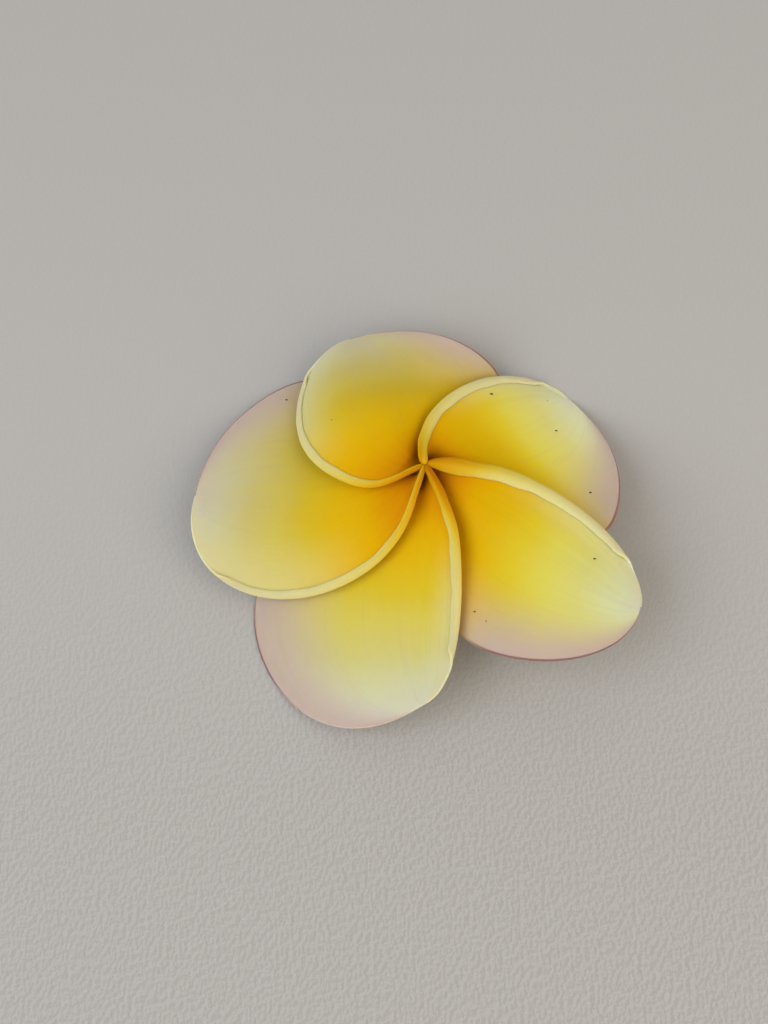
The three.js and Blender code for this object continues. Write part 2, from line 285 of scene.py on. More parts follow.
class StageSettings(bpy.types.PropertyGroup):
    floor: bpy.props.FloatVectorProperty(
        name="Floor", description="Colour of the surface the flower lies on",
        subtype="COLOR", size=3, min=0, max=1, default=tone(188, 187, 187))
    key: bpy.props.FloatProperty(
        name="Window light", description="Power of the large soft light from the left",
        default=2.6, min=0, unit="POWER")
    fill: bpy.props.FloatProperty(
        name="Lamp", description="Power of the large warm light from the right front",
        default=1.6, min=0, unit="POWER")
    sky: bpy.props.FloatProperty(
        name="Room light", description="Strength of the light from all round",
        default=0.46, min=0)
    distance: bpy.props.FloatProperty(
        name="Camera distance", description="From the middle of the throat",
        default=230 * MM, min=0.05, subtype="DISTANCE", unit="LENGTH")
    azimuth: bpy.props.FloatProperty(
        name="Camera azimuth", description="Round the vertical, from the front",
        default=radians(9.36), subtype="ANGLE", unit="ROTATION")
    elevation: bpy.props.FloatProperty(
        name="Camera elevation", description="Above the surface",
        default=radians(66), subtype="ANGLE", unit="ROTATION")
    roll: bpy.props.FloatProperty(
        name="Camera roll", description="Round the line of sight",
        default=radians(-8.72), subtype="ANGLE", unit="ROTATION")
    lens: bpy.props.FloatProperty(
        name="Focal length", description="In millimetres on a 36 mm sensor",
        default=54.18, min=10)


# ---- node trees written as expressions -----------------------------------------------------------
class Wire:
    """An output socket that can stand in an expression; each operation adds a Math node."""

    def __init__(self, graph, socket):
        self.graph = graph
        self.socket = socket

    def __add__(self, other):
        return self.graph.maths("ADD", self, other)

    def __sub__(self, other):
        return self.graph.maths("SUBTRACT", self, other)

    def __rsub__(self, other):
        return self.graph.maths("SUBTRACT", other, self)

    def __mul__(self, other):
        return self.graph.maths("MULTIPLY", self, other)

    def __neg__(self):
        return self.graph.maths("MULTIPLY", self, -1.0)

    __radd__ = __add__
    __rmul__ = __mul__


class Graph:
    """Adds nodes to one tree, each with its settings first and then its sockets."""

    def __init__(self, tree):
        self.tree = tree

    def node(self, kind, settings=None, sockets=None, output=0):
        made = self.tree.nodes.new(kind)
        for name, value in (settings or {}).items():
            if name == "stops":
                self.stops(made.color_ramp, value)
            else:
                setattr(made, name, value)
        for name, value in (sockets or {}).items():
            self.join(self.find(made.inputs, name), value)
        return Wire(self, self.find(made.outputs, output)) if len(made.outputs) else None

    def find(self, sockets, name):
        if isinstance(name, int):
            return sockets[name]
        return next(s for s in sockets if name in (s.identifier, s.name))

    def join(self, socket, value):
        if isinstance(value, Wire):
            self.tree.links.new(value.socket, socket)
        else:
            socket.default_value = value

    def stops(self, ramp, stops):
        while len(ramp.elements) < len(stops):
            ramp.elements.new(1.0)
        for element, (place, colour) in zip(ramp.elements, stops):
            element.position = place
            element.color = (*colour, 1.0)

    def maths(self, operation, first, second):
        return self.node("ShaderNodeMath", {"operation": operation}, {0: first, 1: second})

    def ramp(self, value, low, high):
        """A smooth rise from 0 at low to 1 at high."""
        return self.node(
            "ShaderNodeMapRange", {"interpolation_type": "SMOOTHSTEP"},
            {"Value": value, "From Min": low, "From Max": high, "To Min": 0.0, "To Max": 1.0})

    def blend(self, base, other, share, mode="MIX"):
        """The colour base with a share of the colour other, mixed or multiplied."""
        colours = [c if isinstance(c, Wire) else (*c, 1.0) for c in (base, other)]
        return self.node(
            "ShaderNodeMix", {"data_type": "RGBA", "blend_type": mode},
            {"Factor_Float": share, "A_Color": colours[0], "B_Color": colours[1]},
            "Result_Color")

    def vector(self, x, y, z):
        return self.node("ShaderNodeCombineXYZ", None, {"X": x, "Y": y, "Z": z})

    def noise(self, vector, scale, detail=2.0):
        return self.node(
            "ShaderNodeTexNoise", None,
            {"Vector": vector, "Scale": scale, "Detail": detail, "Roughness": 0.5}, 0)


class ShaderGraph(Graph):
    """The graph of a new material, ending in one Principled shader."""

    def __init__(self, name):
        self.material = bpy.data.materials.new(name)
        self.material.use_nodes = True
        super().__init__(self.material.node_tree)
        self.tree.nodes.clear()

    def attribute(self, name):
        return self.node("ShaderNodeAttribute", {"attribute_name": name}, None, "Fac")

    def finish(self, sockets):
        shader = self.node("ShaderNodeBsdfPrincipled", None, sockets)
        self.node("ShaderNodeOutputMaterial", None, {"Surface": shader})
        return self.material


class PieceGraph(Graph):
    """A geometry tree with named inputs, run on one object and left behind as a plain mesh."""

    def __init__(self, name):
        super().__init__(bpy.data.node_groups.new(name, "GeometryNodeTree"))
        interface = self.tree.interface
        interface.new_socket("Geometry", in_out="INPUT", socket_type="NodeSocketGeometry")
        interface.new_socket("Geometry", in_out="OUTPUT", socket_type="NodeSocketGeometry")
        self.entry = self.tree.nodes.new("NodeGroupInput")
        self.identifiers = {}

    def input(self, name, kind):
        item = self.tree.interface.new_socket(name, in_out="INPUT", socket_type=kind)
        self.identifiers[name] = item.identifier
        return Wire(self, self.find(self.entry.outputs, item.identifier))

    def geometry(self):
        return Wire(self, self.entry.outputs[0])

    def attribute(self, name, kind="FLOAT"):
        return self.node("GeometryNodeInputNamedAttribute", {"data_type": kind}, {"Name": name})

    def finish(self, geometry, material):
        real = self.node("GeometryNodeRealizeInstances", None, {"Geometry": geometry})
        painted = self.node(
            "GeometryNodeSetMaterial", None, {"Geometry": real, "Material": material})
        self.node("NodeGroupOutput", None, {0: painted})

    def apply(self, piece, values):
        """Runs the tree on the piece with these input values and keeps the result as its mesh."""
        modifier = piece.modifiers.new(self.tree.name, "NODES")
        modifier.node_group = self.tree
        for name, value in values.items():
            modifier[self.identifiers[name]] = value
        graph = bpy.context.evaluated_depsgraph_get()
        mesh = bpy.data.meshes.new_from_object(piece.evaluated_get(graph))
        piece.modifiers.remove(modifier)
        mesh.name = piece.name
        old = piece.data
        piece.data = mesh
        bpy.data.meshes.remove(old)


# ---- the petal's form ----------------------------------------------------------------------------
def ease(value):
    """Smooth step from 0 to 1."""
    t = np.clip(value, 0, 1)
    return t * t * (3 - 2 * t)


def along(values, s):
    """The parabola through three values at the base, the middle and the tip."""
    base, middle, tip = values
    return base * (1 - s) * (1 - 2 * s) + middle * 4 * s * (1 - s) + tip * s * (2 * s - 1)


def climb_at(petal, s):
    from_tube = np.exp(-((s / BEND) ** BEND_SHAPE))
    return np.radians(along(petal["climb"], s) + (BASE_CLIMB - petal["climb"][0]) * from_tube)


def heading_at(petal, s):
    return np.radians(petal["sweep"] * (0.5 - s) + 2 * HOOK * ((0.5 - s) ** 2 - 0.25))


def half_width(widest, rise, fall, neck, s):
    peak = rise / (rise + fall)
    outline = (s / peak) ** rise * (np.maximum(1 - s, 0) / (1 - peak)) ** fall
    return BASE_HALF_WIDTH * (1 - s) + widest * ease(s / NECK) ** neck * outline


def arc(length, angle, bend):
    """The end of an arc that starts at this angle and bends by so many radians a millimetre."""
    half = bend * length / 2
    chord = length * np.sinc(half / pi)
    return chord * np.cos(angle + half), chord * np.sin(angle + half)


def directions(petal, s):
    """Unit vectors ahead, across and up at each s."""
    climb, heading = climb_at(petal, s), heading_at(petal, s)
    ahead = np.stack([
        np.cos(climb) * np.cos(heading), np.cos(climb) * np.sin(heading), np.sin(climb)], 1)
    across = np.stack([-np.sin(heading), np.cos(heading), 0 * heading], 1)
    return ahead, across, np.cross(ahead, across)


def midline(petal, s):
    """Points of the midline at each s."""
    middles = (np.arange(MIDLINE_STEPS) + 0.5) / MIDLINE_STEPS
    moves = directions(petal, middles)[0] * petal["length"] / MIDLINE_STEPS
    start = np.array([[RING_RADIUS, 0, 0]])
    line = np.vstack([start, start + np.cumsum(moves, 0)])
    knots = np.linspace(0, 1, MIDLINE_STEPS + 1)
    return np.stack([np.interp(s, knots, line[:, axis]) for axis in range(3)], 1)


def middle_surface(petal, s, columns):
    """The petal's middle surface: rows along s, columns -1..0 tucked side, 0..1 rolled side,
    1..2 the roll, 2..3 the flap that it ends in."""
    centre = midline(petal, s)
    _, across, up = directions(petal, s)
    twist = np.radians(along(petal["twist"], s) + IRIS_TWIST * np.exp(-((s / IRIS_LENGTH) ** 2)))
    rim = half_width(petal["rim_side"], RIM_RISE, RIM_FALL, NECK_RIM, s)
    tucked = half_width(petal["tucked_side"], TUCKED_RISE, TUCKED_FALL, NECK_TUCKED, s)
    rim_bend = radians(petal["rim_curl"]) / CURL_SPAN
    tucked_bend = -radians(petal["tucked_curl"]) / CURL_SPAN
    start = CORD_FULL + (1 - CORD_FULL) * ease(s / ROLL_START)
    fullness = start * ease((petal["roll_end"] - s) / ROLL_STOP)
    roll = np.radians(ROLL_LEAST + (ROLL_FULL - ROLL_LEAST) * fullness)
    cord = petal["cord"] + (1 - petal["cord"]) * ease(s / CORD_REACH)
    cord = cord * (1 - petal["thin"] * np.exp(-((s / THIN_REACH) ** 2)))
    cord = cord * np.sqrt(1 - CORD_ROUND * np.maximum(1 - s / CORD_END, 0) ** 2)
    left = (petal["roll_end"] - s) / (petal["roll_end"] - TAPER_START)
    taper = TAPER_LEAST + (1 - TAPER_LEAST) * np.clip(left, 0, 1) ** TAPER_SHAPE
    long_wave, short_wave = ROLL_WAVES
    uneven = np.sin(s * long_wave + petal["turn"]) + np.sin(s * short_wave + petal["sweep"])
    shrink = cord * taper * (1 + ROLL_UNEVEN / 2 * uneven)
    radius = petal["roll_radius"] * shrink
    flap = petal["flap"] * shrink * np.maximum(fullness, FLAP_LEAST)
    flap_bend = radians(FLAP_BEND) * fullness / flap
    room = (radius + SOLID_EDGE / 2) * np.sin(np.minimum(roll, pi / 2))
    flat = np.maximum(rim - room, rim / 2)
    dip = petal["tuck"] * ease(s / TUCK_START) * ease((petal["tuck_end"] - s) / TUCK_FADE)
    lift = CREST * ease(s / CREST_START) * ease((CREST_END - s) / CREST_FADE)
    fold = twist + rim_bend * flat
    surface = np.zeros((len(s), len(columns), 3))
    for j, c in enumerate(columns):
        if c < 0:
            sideways, upward = arc(c * tucked, twist, tucked_bend)
            rise = -dip * ease(-c / TUCK_WIDTH)
        elif c <= 1:
            sideways, upward = arc(c * flat, twist, rim_bend)
            rise = lift * ease(c / CREST_WIDTH)
        else:
            sideways, upward = arc(flat, twist, rim_bend)
            rise = lift
            turned = min(c - 1, 1) * roll
            outward = radius * np.sin(turned)
            raised = radius * ROLL_FLAT * (1 - np.cos(turned))
            sideways = sideways + outward * np.cos(fold) - raised * np.sin(fold)
            upward = upward + outward * np.sin(fold) + raised * np.cos(fold)
            reach = arc(max(c - 2, 0) * flap, fold + roll, flap_bend)
            sideways = sideways + reach[0]
            upward = upward + reach[1]
        surface[:, j] = centre + sideways[:, None] * across + upward[:, None] * up
        surface[:, j, 2] += rise
    return surface


def lead_to_hub(petal, surface, s, columns):
    """Bends the rolled margin, near the base, to the hub where the five margins meet."""
    turn = radians(petal["turn"])
    way = radians(petal["arrives"]) - turn
    x, y, z = HUB
    hub = np.array([x * cos(turn) + y * sin(turn), y * cos(turn) - x * sin(turn), z])
    begin = hub + np.array([cos(way) * HUB_GAP, sin(way) * HUB_GAP, petal["over"]])
    rows = np.searchsorted(s, HUB_REACH)
    spine = surface[:rows + 1, TUCKED_COLUMNS + RIM_COLUMNS]
    span = np.linalg.norm(spine[-1] - begin)
    climb = radians(HUB_CLIMB)
    leave = span * np.array([cos(way) * cos(climb), sin(way) * cos(climb), sin(climb)])
    step = spine[-1] - spine[-2]
    arrive = span * step / np.linalg.norm(step)
    t = (s[:rows + 1] / s[rows])[:, None]
    course = (
        begin * (2 * t ** 3 - 3 * t ** 2 + 1) + leave * (t ** 3 - 2 * t ** 2 + t)
        + spine[-1] * (3 * t ** 2 - 2 * t ** 3) + arrive * (t ** 3 - t ** 2))
    weight = ease((columns + HUB_INNER) / HUB_WIDTH)
    surface[:rows + 1] += (course - spine)[:, None] * weight[None, :, None]
    covered = ease(-columns / COVER_WIDTH)
    push(petal, surface, petal["nudge"], hump(s, NUDGE_AT, NUDGE_SPREAD), weight)
    push(petal, surface, petal["cover"], hump(s, COVER_AT, COVER_SPREAD), covered)


def hump(s, middle, spread):
    """A smooth hump along the petal that leaves its base where it is."""
    return np.exp(-(((s - middle) / spread) ** 2)) * ease(s * HUMP_START / middle)


def push(petal, surface, shift, lengthwise, crosswise):
    """Moves part of the surface by this much, given before the petal's own turn."""
    turn = radians(petal["turn"])
    x, y = shift
    move = np.array([x * cos(turn) + y * sin(turn), y * cos(turn) - x * sin(turn), 0])
    surface += lengthwise[:, None, None] * crosswise[None, :, None] * move


def grid_normals(surface):
    """Unit normals of a grid of points, toward the petal's upper face."""
    forward = np.gradient(surface, axis=0)
    sideways = np.gradient(surface, axis=1)
    forward[-1], sideways[-1] = forward[-2], sideways[-2]
    normals = np.cross(forward, sideways)
    return normals / np.maximum(np.linalg.norm(normals, axis=2, keepdims=True), 1e-9)


def nearest(points, line):
    """Distance from each point of a grid to the nearest point of a line."""
    gaps = [np.linalg.norm(row[:, None] - line[None], axis=2).min(1) for row in points]
    return np.array(gaps)


def lie_down(points, turn=0.0):
    """Turns points of the upright flower about its axis and lays them down, in millimetres."""
    lean = Matrix.Rotation(-radians(LEAN_BACK), 3, "X") @ Matrix.Rotation(
        radians(LEAN_RIGHT), 3, "Y")
    turned = np.array(lean @ Matrix.Rotation(radians(turn), 3, "Z"))
    return points @ turned.T + np.array(THROAT)


def petal_columns():
    return np.concatenate([
        np.linspace(-1, 0, TUCKED_COLUMNS, endpoint=False),
        np.linspace(0, 1, RIM_COLUMNS, endpoint=False),
        np.linspace(1, 2, ROLL_COLUMNS, endpoint=False),
        np.linspace(2, 3, FLAP_COLUMNS + 1)])


def petal_skin(petal, settings):
    """The closed skin of a petal: a loop of points round each row, and what the looks need."""
    s = (1 - np.cos(np.linspace(0, pi, ROWS + 1))) / 2
    columns = petal_columns()
    surface = middle_surface(petal, s, columns)
    lead_to_hub(petal, surface, s, columns)
    normals = grid_normals(surface)
    outward = np.gradient(surface, axis=1)
    outward /= np.maximum(np.linalg.norm(outward, axis=2, keepdims=True), 1e-9)

    inside = np.where(columns > 1, 0, 1 - np.abs(np.minimum(columns, 1)) ** EDGE_SPREAD)
    thinning = np.maximum((s - THIN_FROM) / (1 - THIN_FROM), 0) ** 2
    lengthwise = ease(s / FULL_FROM) * (1 - thinning)
    spread = lengthwise[:, None] * inside[None, :]
    below = (SOLID_EDGE + (SOLID_BLADE - SOLID_EDGE) * spread) / 2
    full = (settings.edge + (settings.blade - settings.edge) * spread) / MM
    rounded = np.sqrt(np.maximum(1 - np.maximum((s - 1 + TIP_ROUND) / TIP_ROUND, 0) ** 2, 0))
    above = full * rounded[:, None] - below * rounded[:, None]
    below = below * rounded[:, None]

    top = surface + normals * above[:, :, None]
    bottom = surface - normals * below[:, :, None]

    def margin(j, way):
        """Points round one margin, from the upper face to the lower."""
        centre = (top[:, j] + bottom[:, j]) / 2
        half = (top[:, j] - bottom[:, j]) / 2
        reach = np.linalg.norm(half, axis=1, keepdims=True) * outward[:, j] * way
        angles = pi * (np.arange(ROUNDING) + 1) / (ROUNDING + 1)
        return np.stack([centre + half * cos(a) + reach * sin(a) for a in angles], 1)

    far = margin(-1, 1)
    near = margin(0, -1)[:, ::-1]
    loops = np.concatenate([top, far, bottom[:, ::-1], near], 1)
    loops[-1] = surface[-1, TUCKED_COLUMNS]

    count = len(columns)
    edge_line = surface[:, 0]
    from_edge = nearest(surface, edge_line)
    under = np.concatenate([
        np.zeros(count), np.linspace(0, 1, ROUNDING + 2)[1:-1],
        np.ones(count), np.linspace(1, 0, ROUNDING + 2)[1:-1]])
    index = np.concatenate([
        np.arange(count), np.full(ROUNDING, count - 1),
        np.arange(count)[::-1], np.full(ROUNDING, 0)])
    facts = {
        "along": np.repeat(s[:, None], len(index), 1),
        "side": np.repeat(columns[index][None, :], len(s), 0),
        "from_edge": from_edge[:, index],
        "under": np.repeat(under[None, :], len(s), 0),
    }
    return loops, normals[:, index], facts


def petal_faces(rows, size, count):
    """Faces between the loops, and the cap across the base."""
    faces = []
    for i in range(rows):
        for k in range(size):
            here, there = i * size + k, i * size + (k + 1) % size
            if i < rows - 1:
                faces.append((here, here + size, there + size, there))
            else:
                faces.append((here, rows * size, there))
    lower = count + ROUNDING
    for j in range(count - 1):
        mirror = lower + count - 1 - j
        faces.append((j, j + 1, mirror - 1, mirror))
    faces.append(tuple(range(count - 1, lower + 1)))
    faces.append((*range(lower + count - 1, size), 0))
    return faces


def make_mesh(name, points, faces, facts):
    """A smooth mesh object at the origin, with these values on its points."""
    mesh = bpy.data.meshes.new(name)
    mesh.from_pydata([tuple(p) for p in points], [], faces)
    for label, values in facts.items():
        if values.ndim == 2:
            layer = mesh.attributes.new(label, "FLOAT_VECTOR", "POINT")
            layer.data.foreach_set("vector", values.astype(np.float32).ravel())
        else:
            layer = mesh.attributes.new(label, "FLOAT", "POINT")
            layer.data.foreach_set("value", values.astype(np.float32))
    mesh.shade_smooth()
    piece = bpy.data.objects.new(name, mesh)
    bpy.context.scene.collection.objects.link(piece)
    return piece


def petal_relief():
    """The tree that raises ripples and veins in a petal, the same on both faces."""
    graph = PieceGraph("petal_relief")
    ripple = graph.input("Ripple height", "NodeSocketFloat")
    ribs = graph.input("Vein height", "NodeSocketFloat")
    seed = graph.input("Seed", "NodeSocketFloat")
    material = graph.input("Material", "NodeSocketMaterial")
    s, c = graph.attribute("along"), graph.attribute("side")
    wide = graph.noise(graph.vector(c * 2.6, s * 1.5, seed), 1.0, 1.0) - 0.5
    fine = graph.noise(graph.vector(c * 26.0, s * 2.2, seed + 7.0), 1.0, 2.0) - 0.5
    height = wide * ripple * 2.0 + fine * ribs * 2.0
    offset = graph.node(
        "ShaderNodeVectorMath", {"operation": "SCALE"},
        {0: graph.attribute("lift", "FLOAT_VECTOR"), "Scale": height})
    moved = graph.node(
        "GeometryNodeSetPosition", None, {"Geometry": graph.geometry(), "Offset": offset})
    graph.finish(moved, material)
    return graph


def make_petal(name, settings, relief, material, seed):
    petal = PETALS[name]
    loops, normals, facts = petal_skin(petal, settings)
    points = lie_down(loops, petal["turn"])
    upward = lie_down(normals, petal["turn"]) - np.array(THROAT)

    # The underside is pressed flat where it meets the ground, and the upper face goes with it.
    count = len(petal_columns())
    heights = points[:, :, 2]
    under = np.concatenate([
        heights[:, count + ROUNDING:2 * count + ROUNDING][:, ::-1],
        np.repeat(heights[:, count + ROUNDING, None], ROUNDING, 1),
        heights[:, count + ROUNDING:2 * count + ROUNDING],
        np.repeat(heights[:, 2 * count + ROUNDING - 1, None], ROUNDING, 1)], 1)
    lowest = np.minimum(under, heights)
    points[:, :, 2] += np.maximum(-lowest, 0)

    s, c = facts["along"], facts["side"]
    calm = ease(points[:, :, 2] / GROUND_CALM) * ease((s - CALM_START) / CALM_RISE)
    calm = calm * (1 - ease((c - CALM_RIM) / CALM_FADE))
    calm = calm * (1 - CALM_TIP_SHARE * ease((s - CALM_TIP) / CALM_TIP_FADE))
    facts["lift"] = upward * calm[:, :, None]

    rows, size = loops.shape[:2]
    keep = (rows - 1) * size + 1
    flat = {
        label: values.reshape(-1, 3)[:keep] if values.ndim == 3 else values.ravel()[:keep]
        for label, values in facts.items()}
    faces = petal_faces(rows - 1, size, count)
    piece = make_mesh(f"{name}_bloom", points.reshape(-1, 3)[:keep] * MM, faces, flat)
    relief.apply(piece, {
        "Ripple height": settings.ripple, "Vein height": settings.ribs,
        "Seed": float(seed), "Material": material})
    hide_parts(name)
    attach(piece, BODY)
    return piece


def petal_material(colours, petal, seed):
    """Gold at the throat, through yellow to cream, with blushed margins and fine veins."""
    graph = ShaderGraph(f"{petal}_skin")
    s, c = graph.attribute("along"), graph.attribute("side")
    from_edge, under = graph.attribute("from_edge"), graph.attribute("under")
    streaks = graph.noise(graph.vector(c * 22.0, s * 1.8, float(seed)), 1.0, 3.0)
    clouds = graph.noise(graph.vector(c * 1.7, s * 3.0, seed + 5.0), 1.0, 2.0)
    gold, yellow, cream = tuple(colours.gold), tuple(colours.yellow), tuple(colours.cream)
    blush, roll, throat = tuple(colours.blush), tuple(colours.roll), tuple(colours.throat)
    shift = s + (streaks - 0.5) * 0.07 + (clouds - 0.5) * 0.1
    look = LOOKS[petal]

    # lag holds the gold back on the covered side: painted shade of the next petal's rolled margin
    # there, painted light where it is below 0
    face = graph.node("ShaderNodeValToRGB", {"stops": (
        (0.0, tone(176, 100, 2)), (0.05, tone(212, 138, 3)), (0.12, tone(225, 158, 4)),
        (0.24, gold), (0.36, tone(231, 192, 14)), (0.5, yellow), (0.63, tone(224, 214, 98)),
        (0.76, cream), (0.9, tone(220, 224, 180)), (1.0, tone(221, 222, 198)))},
        {"Fac": shift - graph.ramp(-c, 0.1, 0.9) * look["painted_cover_shade"]}, "Color")
    pale = graph.ramp(c, 0.3, 1.0) * graph.ramp(s, 0.25, 0.6)
    face = graph.blend(face, tone(224, 218, 168), pale * 0.55)
    # painted light and shade: tint makes each petal's outer part lighter or darker for how the
    # light falls on it
    dim = graph.ramp(s, 0.3, 0.6) * (1 - graph.ramp(c, 0.0, 0.9) * 0.6)
    face = graph.blend(face, look["painted_light"], dim, "MULTIPLY")
    pink = graph.ramp(-c, 0.35, 1.0) * graph.ramp(s, look["blush_from"], look["blush_from"] + 0.4)
    face = graph.blend(face, blush, pink * 0.95)
    trough = graph.ramp(c, 1.0, 1.5) * graph.ramp(s, 0.2, 0.5)
    face = graph.blend(face, tone(228, 226, 200), trough * 0.8)
    # painted shade, partly the throat's own colour: the base turns brown orange where the throat is
    # deep, most on the petals seen deepest into it
    painted_throat_shade = (1 - graph.ramp(s, 0.02, 0.17)) * (1 - graph.ramp(c, 0.1, 0.8)) * look["painted_throat_shade"]
    face = graph.blend(face, throat, painted_throat_shade)

    back = graph.node("ShaderNodeValToRGB", {"stops": (
        (0.0, tone(196, 122, 4)), (0.1, tone(217, 163, 12)), (0.2, tone(227, 194, 52)),
        (0.32, tone(227, 208, 110)), (0.5, roll), (0.75, tone(219, 212, 168)),
        (1.0, tone(210, 203, 172)))},
        {"Fac": shift + graph.ramp(c, 1.7, 2.6) * 0.08 - look["roll_gold"]}, "Color")
    # painted light: the flap's far margin near the base is lightened against the shade in its
    # crease with the blade
    inner = graph.ramp(c, 2.2, 3.0) * graph.ramp(s, 0.1, 0.3)
    back = graph.blend(back, tone(240, 230, 172), inner * 0.5)
    flush = graph.ramp(-c, 0.1, 1.0) * graph.ramp(s, 0.3, 0.8)
    back = graph.blend(back, tone(196, 122, 124), flush * 0.7)

    colour = graph.blend(face, back, graph.ramp(under, 0.3, 0.7))
    line = (1 - graph.ramp(from_edge, 0.05, 0.28)) * graph.ramp(s, 0.4, 0.65)
    line = line * (1 - graph.ramp(s, look["line_to"] - 0.15, look["line_to"]))
    colour = graph.blend(colour, tuple(colours.line), line * 0.75)
    veins = graph.ramp(streaks, 0.5, 0.75) * graph.ramp(s, 0.15, 0.4)
    colour = graph.blend(colour, tone(190, 160, 90), veins * 0.1)

    place = graph.node("ShaderNodeTexCoord", None, None, "Object")
    grain = graph.noise(place, 2600.0, 2.0)
    relief = streaks * (1 - graph.ramp(s, 0.7, 1.0)) * 0.75 + grain * 0.25
    bump = graph.node(
        "ShaderNodeBump", None, {"Strength": 0.28, "Distance": 0.05 * MM, "Height": relief},
        "Normal")
    return graph.finish({
        "Base Color": colour, "Roughness": 0.56 + streaks * 0.1, "Normal": bump,
        "Subsurface Weight": 1.0, "Subsurface Radius": (1.2, 0.9, 0.35),
        "Subsurface Scale": 0.6 * MM, "Specular IOR Level": 0.03})


class FLOWER_OT_petals(bpy.types.Operator):
    """Makes the five petals"""
    bl_idname = "flower.petals"
    bl_label = "Petals"

    def execute(self, context):
        settings = context.scene.flower_petals
        relief = petal_relief()
        for number, name in enumerate(PETALS):
            seed = settings.seed + 11 * number
            material = petal_material(context.scene.flower_colours, name, seed)
            make_petal(name, settings, relief, material, seed)
        return {"FINISHED"}


# ---- the tube ------------------------------------------------------------------------------------
def tube_profile():
    """Rings of the tube's wall, up the outside and down the bore: height share and radius."""
    shares = np.linspace(0, 1, TUBE_RINGS + 1)
    knots, radii = zip(*TUBE_OUTLINE)
    outer = np.interp(shares, knots, radii)
    window = 2 * TUBE_SMOOTHING + 1
    kernel = np.ones(window) / window
    padded = np.pad(outer, TUBE_SMOOTHING, "edge")
    outer = np.minimum(np.convolve(padded, kernel, "valid"), outer.max())
    wall = TUBE_WALL + (MOUTH_WALL - TUBE_WALL) * ease((shares - 1) / MOUTH_DEPTH + 1)
    inner = (outer - wall) * (1 - BORE_CLOSED * ease((BORE_OPEN - shares) / BORE_OPEN))
    angles = pi * np.arange(1, 6) / 6
    first = TUBE_LIP / TUBE_LENGTH
    mouth = [(1 - first * (1 - sin(a)), outer[-1] - wall[-1] * (1 - cos(a)) / 2)
             for a in angles]
    foot = [(first * (1 - sin(a)), inner[0] + wall[0] * (1 - cos(a)) / 2)
            for a in angles]
    inside = (shares > first) & (shares < 1 - first)
    up = list(zip(shares[inside], outer[inside]))
    down = list(zip(shares[inside], inner[inside]))[::-1]
    return np.array(up + mouth + down + foot)


def make_tube(material):
    profile = tube_profile()
    turn = np.linspace(0, 2 * pi, TUBE_SIDES, endpoint=False)
    outside = np.gradient(profile[:, 0]) > 0
    ribs = TUBE_RIB_HEIGHT * (np.cos(TUBE_RIBS * turn) - 1) / 2
    radius = profile[:, 1][:, None] + outside[:, None] * ribs[None, :]
    mouth = -SOLID_EDGE / 2 * cos(radians(BASE_CLIMB)) - SEAT_GAP
    raised = MOUTH_RAISE * ease((profile[:, 0] - 1) / MOUTH_DEPTH + 1)
    heights = (profile[:, 0] - 1) * TUBE_LENGTH + mouth + raised
    height = np.repeat(heights[:, None], TUBE_SIDES, 1)
    points = np.stack([radius * np.cos(turn), radius * np.sin(turn), height], 2)
    rings = len(profile)
    faces = []
    for i in range(rings):
        for k in range(TUBE_SIDES):
            a, b = i * TUBE_SIDES + k, i * TUBE_SIDES + (k + 1) % TUBE_SIDES
            c, d = (b + TUBE_SIDES) % (rings * TUBE_SIDES), (a + TUBE_SIDES) % (rings * TUBE_SIDES)
            faces.append((a, b, c, d))
    facts = {
        "along": np.repeat(profile[:, 0], TUBE_SIDES),
        "around": np.tile(turn, rings),
    }
    placed = lie_down(points.reshape(-1, 3)) * MM
    piece = make_mesh("corolla_tube_skin", placed, faces, facts)
    piece.data.materials.append(material)
    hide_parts("corolla_tube")
    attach(piece, BODY)
    return piece


def tube_material(colours):
    graph = ShaderGraph("tube_skin")
    height = graph.attribute("along")
    place = graph.node("ShaderNodeTexCoord", None, None, "Object")
    mottle = graph.noise(place, 900.0, 3.0)
    colour = graph.blend(tone(176, 110, 82), tuple(colours.tube), graph.ramp(height, 0.0, 0.22))
    colour = graph.blend(colour, tone(214, 158, 30), graph.ramp(height, 0.55, 1.0))
    colour = graph.blend(colour, tone(170, 120, 90), graph.ramp(mottle, 0.5, 0.8) * 0.3)
    bump = graph.node(
        "ShaderNodeBump", None, {"Strength": 0.3, "Distance": 0.05 * MM, "Height": mottle},
        "Normal")
    return graph.finish({
        "Base Color": colour, "Roughness": 0.5 + mottle * 0.15, "Normal": bump,
        "Subsurface Weight": 0.15, "Subsurface Radius": (1.2, 0.8, 0.4),
        "Subsurface Scale": 0.5 * MM, "Specular IOR Level": 0.35})


class FLOWER_OT_tube(bpy.types.Operator):
    """Makes the tube below the petals"""
    bl_idname = "flower.tube"
    bl_label = "Tube"

    def execute(self, context):
        make_tube(tube_material(context.scene.flower_colours))
        return {"FINISHED"}


# ---- the specks ----------------------------------------------------------------------------------
def speck_tree():
    """The tree that sets a flattened grain on each point, along the point's own normal."""
    graph = PieceGraph("speck_grains")
    material = graph.input("Material", "NodeSocketMaterial")
    grain = graph.node(
        "GeometryNodeMeshIcoSphere", None, {"Radius": 0.5, "Subdivisions": 2}, "Mesh")
    size = graph.attribute("size")
    turn = graph.node(
        "FunctionNodeAlignRotationToVector", {"axis": "Z"},
        {"Vector": graph.attribute("out", "FLOAT_VECTOR")})
    placed = graph.node(
        "GeometryNodeInstanceOnPoints", None,
        {"Points": graph.geometry(), "Instance": grain, "Rotation": turn,
         "Scale": graph.vector(*(size * share for share in SPECK_SHAPE))})
    graph.finish(placed, material)
    return graph


